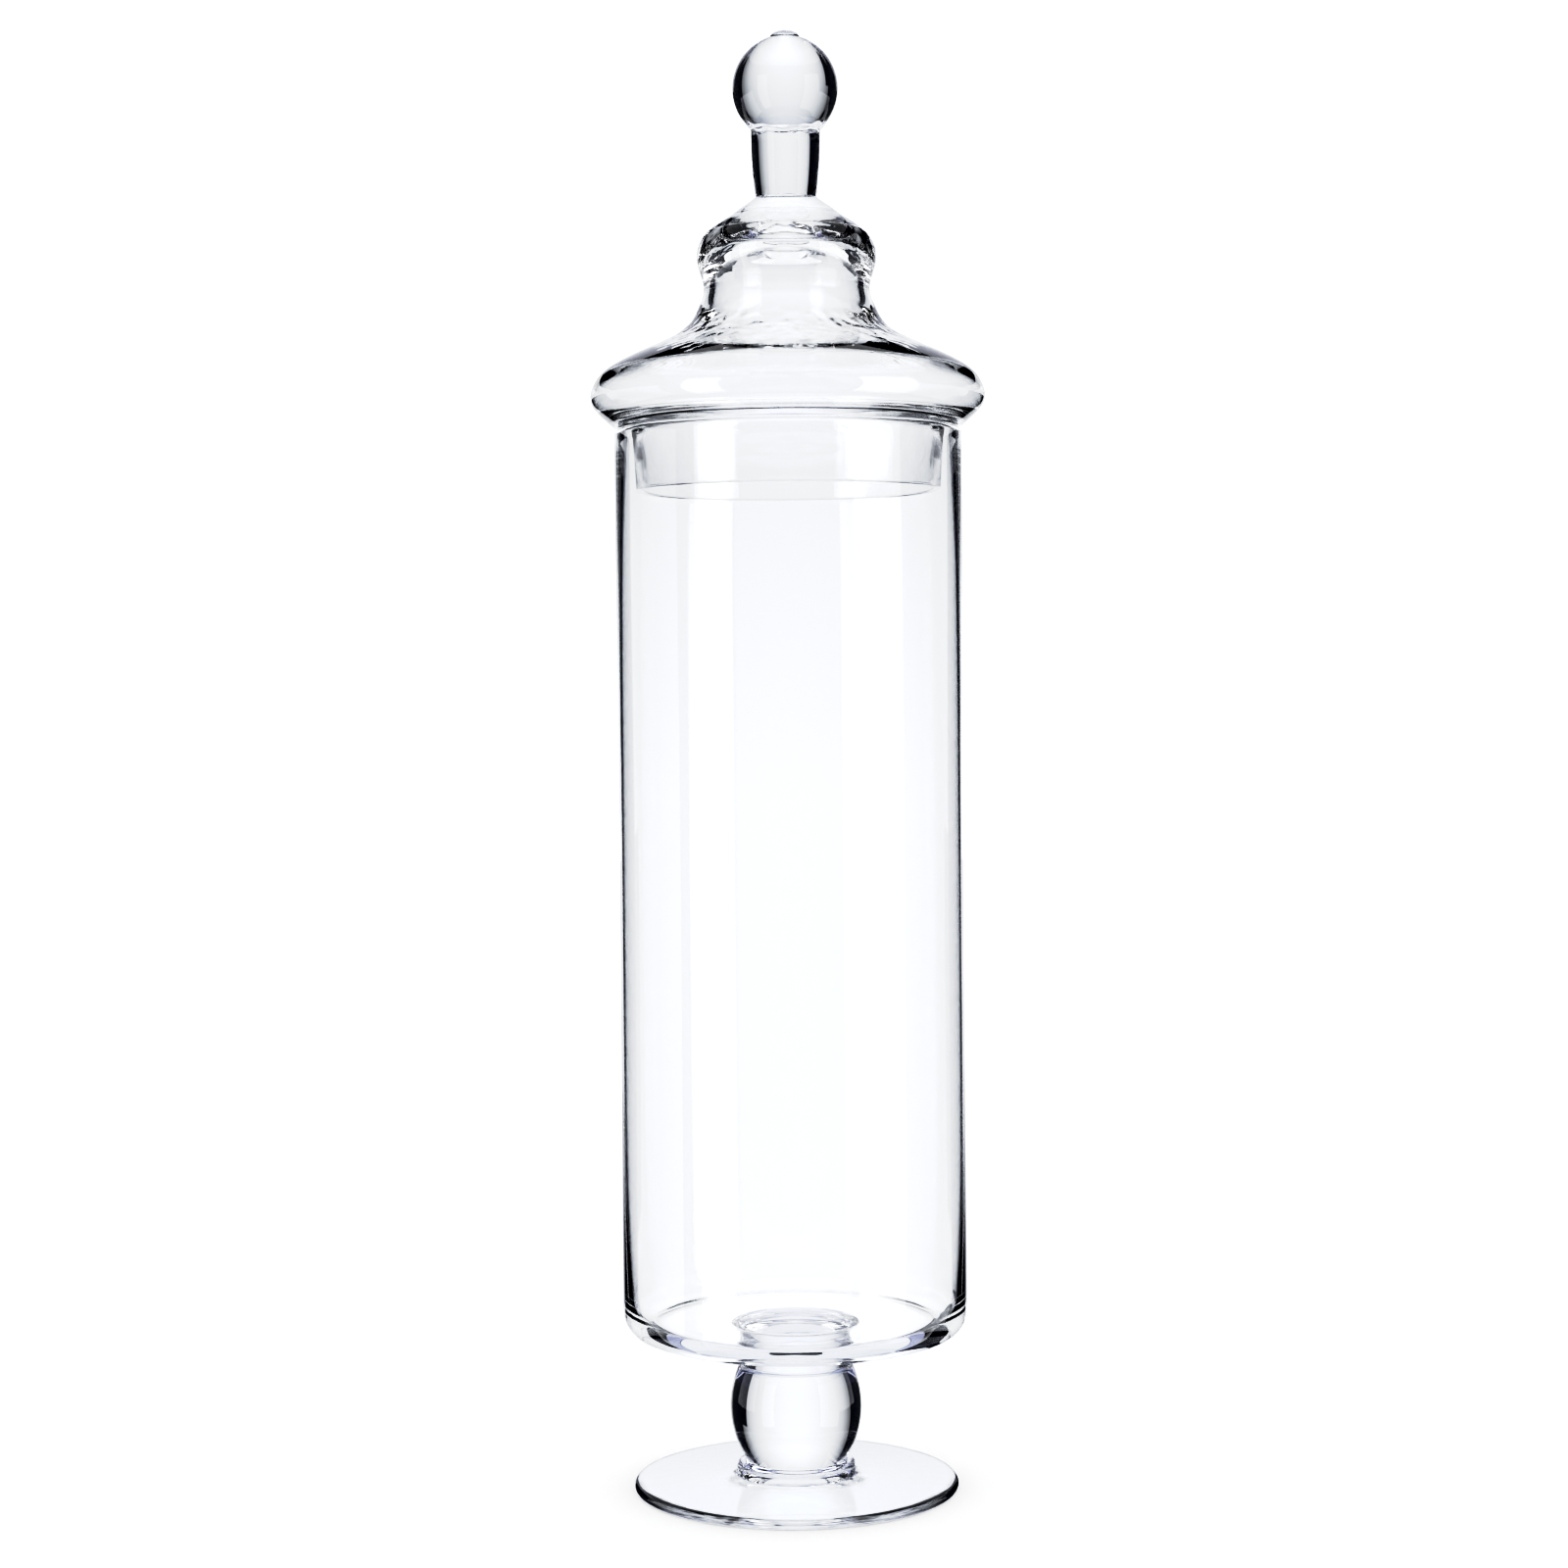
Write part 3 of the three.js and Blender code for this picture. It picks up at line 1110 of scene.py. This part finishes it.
@dataclass
class Studio:
    """A bright-field table for glass: a lit sweep seen through a slot between two dark flags.

    The sweep, flags and soft boxes hang on an arm that stays in line with the camera, as they do when
    a photographer walks round a jar with the whole rig. Lengths are in metres.

    Args:
        camera: The camera that the rig stays in line with.
        ambient: Brightness of the surround.
        slot_gap: How far behind the jar's axis the flags stand.
        slot: Half the width of the slot between them.
        stem_slot: The same at the stem, on the right.
        flag_reach: How far to the side they reach.
        flag_foot: Height of their bottom.
        flag_top: Height of their top.
        notch_low: Height of the bottom of the notch in them, beside the flange.
        notch_high: Height of its top.
        finial_gap: How far behind the axis the small flags of the finial stand.
        finial_reach: How far to the side these reach.
        finial_foot: Height of their bottom.
        finial_top: Height of their top.
        table: Height of the bottom of the cards that reach under the floor.
        room: Light of the room behind the rig.
    """

    camera: bpy.types.Object
    ambient: float = 1.3
    slot_gap: float = 0.142
    slot: float = 0.112
    stem_slot: float = 0.088
    flag_reach: float = 0.26
    flag_foot: float = -0.1
    flag_top: float = 0.62
    notch_low: float = 0.389
    notch_high: float = 0.412
    finial_gap: float = 0.065
    finial_reach: float = 0.12
    finial_foot: float = 0.458
    finial_top: float = 0.497
    table: float = -0.3
    room: Colour = (0.002, 0.002, 0.004)

    @property
    def white(self) -> Colour:
        """Colour of the surround."""
        return (self.ambient, self.ambient, self.ambient)

    def arm(self) -> bpy.types.Object:
        """Makes the arm, which turns about the jar to stay in line with the camera."""
        arm = bpy.data.objects.new("studio_arm", None)
        bpy.context.scene.collection.objects.link(arm)
        aim = arm.constraints.new("LOCKED_TRACK")
        aim.target = self.camera
        aim.track_axis = "TRACK_NEGATIVE_Y"
        aim.lock_axis = "LOCK_Z"
        return arm

    def glow(self, sheet: Sheet) -> bpy.types.Material:
        """Makes a sheet's light, which is plain white to light that comes off the floor.

        Args:
            sheet: The sheet. If it is mirrored, only light that was mirrored last meets it.

        Returns:
            The material.
        """
        material, _ = new_material(sheet.name)
        material.cycles.emission_sampling = "NONE"
        tree = material.node_tree
        tree.nodes.clear()
        output = tree.nodes.new("ShaderNodeOutputMaterial")
        light = tree.nodes.new("ShaderNodeEmission")
        seen = blended(tree, first_bounce_mask(tree), sheet.shade(tree), self.white)
        tree.links.new(seen, light.inputs["Color"])
        tree.links.new(light.outputs["Emission"], output.inputs["Surface"])
        if sheet.mirrored:
            path = tree.nodes.new("ShaderNodeLightPath")
            gone = tree.nodes.new("ShaderNodeBsdfTransparent")
            either = tree.nodes.new("ShaderNodeMixShader")
            tree.links.new(path.outputs["Is Reflection Ray"], either.inputs["Fac"])
            tree.links.new(gone.outputs["BSDF"], either.inputs[1])
            tree.links.new(light.outputs["Emission"], either.inputs[2])
            tree.links.new(either.outputs["Shader"], output.inputs["Surface"])
        return material

    def hang(self, sheet: Sheet, arm: bpy.types.Object) -> None:
        """Makes a sheet and hangs it on the arm."""
        data = sheet.mesh()
        data.materials.append(self.glow(sheet))
        hung = bpy.data.objects.new(sheet.name, data)
        hung.visible_camera = False
        hung.visible_diffuse = False
        hung.visible_shadow = False
        hung.parent = arm
        bpy.context.scene.collection.objects.link(hung)

    def flags(self) -> list[Panel]:
        """Lists the dark flags that give the glass its edges."""
        dark = (0.008, 0.009, 0.020)
        gap = self.slot_gap
        inner = (self.slot, gap)
        outer = (self.flag_reach, gap)
        near = self.finial_gap
        far = self.finial_reach
        return [
            *panel_pair("flag", inner, outer, self.flag_foot, self.notch_low, dark),
            *panel_pair("high_flag", inner, outer, self.notch_high, self.flag_top, dark),
            Panel("stem_flag", (self.stem_slot, gap), inner, self.flag_foot, 0.02, dark),
            Panel("left_finial_flag", (-far, near), (-0.034, near), self.finial_foot, self.finial_top, dark),
            Panel("right_finial_flag", (0.046, near), (far, near), self.finial_foot, self.finial_top, dark),
        ]

    def cards(self) -> list[PlainSheet]:
        """Lists the soft boxes, the side cards and the round cards."""
        box = (2.0, 2.0, 2.0)
        side = (1.5, 1.52, 1.56)
        flange = (1.15, 1.16, 1.19)
        high = (0.82, 0.83, 0.90)
        fill = (0.3, 0.3, 0.31)
        foot = (0.52, 0.53, 0.57)
        low = (0.42, 0.43, 0.58)
        above = (1.0, 1.01, 1.03)
        below = (0.84, 0.865, 0.94)
        dusk = (0.42, 0.435, 0.54)
        return [
            Panel("left_soft_box", (-0.722, -0.391), (-0.515, -0.646), self.table, 0.8, box),
            Panel("right_soft_box", (0.557, -0.610), (0.801, -0.156), self.table, 0.8, box),
            *panel_pair("side_card", (0.55, -0.15), (0.55, 0.38), -0.06, 0.43, side, mirrored=True),
            Panel("high_card", (-1.25, 0.98), (1.25, 0.98), 0.68, 1.6, high, mirrored=True),
            *panel_pair("flange_card", (0.1, 0.135), (0.3, 0.135), 0.386, 0.43, flange, mirrored=True),
            Panel("front_fill", (-1.05, -1.3), (1.05, -1.3), self.table, 1.2, fill),
            Panel("foot_card", (-0.6, 0.3), (0.6, 0.3), 0.0, 0.2, foot, mirrored=True),
            Panel("low_front_card", (-0.8, -1.0), (0.8, -1.0), 2 * self.table, -0.12, low),
            Disc("over_card", 0.0, 0.8, 1.15, above),
            Disc("under_disc", 0.06, 0.34, -0.296, below),
            Disc("under_ring", 0.34, 0.42, -0.293, dusk),
        ]

    def floor(self) -> None:
        """Makes the plain pale floor."""
        mesh = bmesh.new()
        bmesh.ops.create_grid(mesh, x_segments=1, y_segments=1, size=4.0,
                              matrix=Matrix.Translation((0, 0, -0.0002)))
        data = new_mesh("pale_floor", mesh)
        material, shader = new_material("pale_floor")
        shader.inputs["Base Color"].default_value = (0.93, 0.93, 0.935, 1.0)
        shader.inputs["Roughness"].default_value = 1.0
        shader.inputs["Specular IOR Level"].default_value = 0.0
        data.materials.append(material)
        floor = bpy.data.objects.new("pale_floor", data)
        floor.visible_transmission = False
        floor.visible_glossy = False
        bpy.context.scene.collection.objects.link(floor)

    def world(self) -> None:
        """Makes an even white surround, and a dark room behind the glass's refractions."""
        world = bpy.data.worlds.new("white_surround")
        bpy.context.scene.world = world
        world.use_nodes = True
        world.cycles.sampling_method = "NONE"
        tree = world.node_tree
        back = tree.nodes["Background"]
        path = tree.nodes.new("ShaderNodeLightPath")
        open_air = reckoned(tree, "MAXIMUM", path.outputs["Is Camera Ray"], first_bounce_mask(tree))
        tree.links.new(blended(tree, open_air, self.room, self.white), back.inputs["Color"])

    def build(self) -> None:
        """Makes the whole studio."""
        arm = self.arm()
        self.hang(Sweep("lit_sweep"), arm)
        for sheet in (*self.flags(), *self.cards()):
            self.hang(sheet, arm)
        self.floor()
        self.world()


def print_contrast() -> None:
    """Gives the picture the hard contrast of a catalogue print."""
    view = bpy.context.scene.view_settings
    view.use_curve_mapping = True
    combined = view.curve_mapping.curves[3]
    for tone, shown in PRINT_CURVE:
        combined.points.new(tone, shown)
    view.curve_mapping.update()


def light_settings() -> None:
    """Lets light cross all the walls of nested glass, and shows tones as they are."""
    scene = bpy.context.scene
    scene.view_settings.view_transform = "Standard"
    scene.view_settings.look = "None"
    scene.cycles.max_bounces = 32
    scene.cycles.transmission_bounces = 32
    scene.cycles.glossy_bounces = 16
    scene.cycles.transparent_max_bounces = 32


def jar_hand_work() -> HandWork:
    """Chooses the unevenness of the jar's joints and walls."""
    return HandWork([
        Wobble(7.0, 2.2, 0.5, 2, 20.0),
        Wobble(7.0, 2.2, 0.35, 5, 50.0),
        Crease(7.0, 3.0, 0.7, 6.0, 3.1),
        Crease(48.0, 5.0, 0.6, 6.0, 7.7),
        Crease(403.0, 5.0, 0.5, 3.2, 2.3),
        Crease(438.8, 3.6, 0.34, 4.0, 5.9),
        Crease(475.0, 2.0, 0.5, 4.0, 9.1),
    ])


def main() -> None:
    """Builds the studio, the jar and its lid."""
    logging.basicConfig(level=logging.INFO, format="%(name)s: %(message)s")
    camera = StudioCamera().build()
    Studio(camera).build()
    light_settings()
    print_contrast()
    rack = clear_glass_rack()
    rack.build()
    shop = Workshop(rack, jar_hand_work())
    FootedJar(shop).build()
    Lid(shop).build()
    LOG.info("made %d pieces", len(shop.made))


if __name__ == "__main__":
    main()
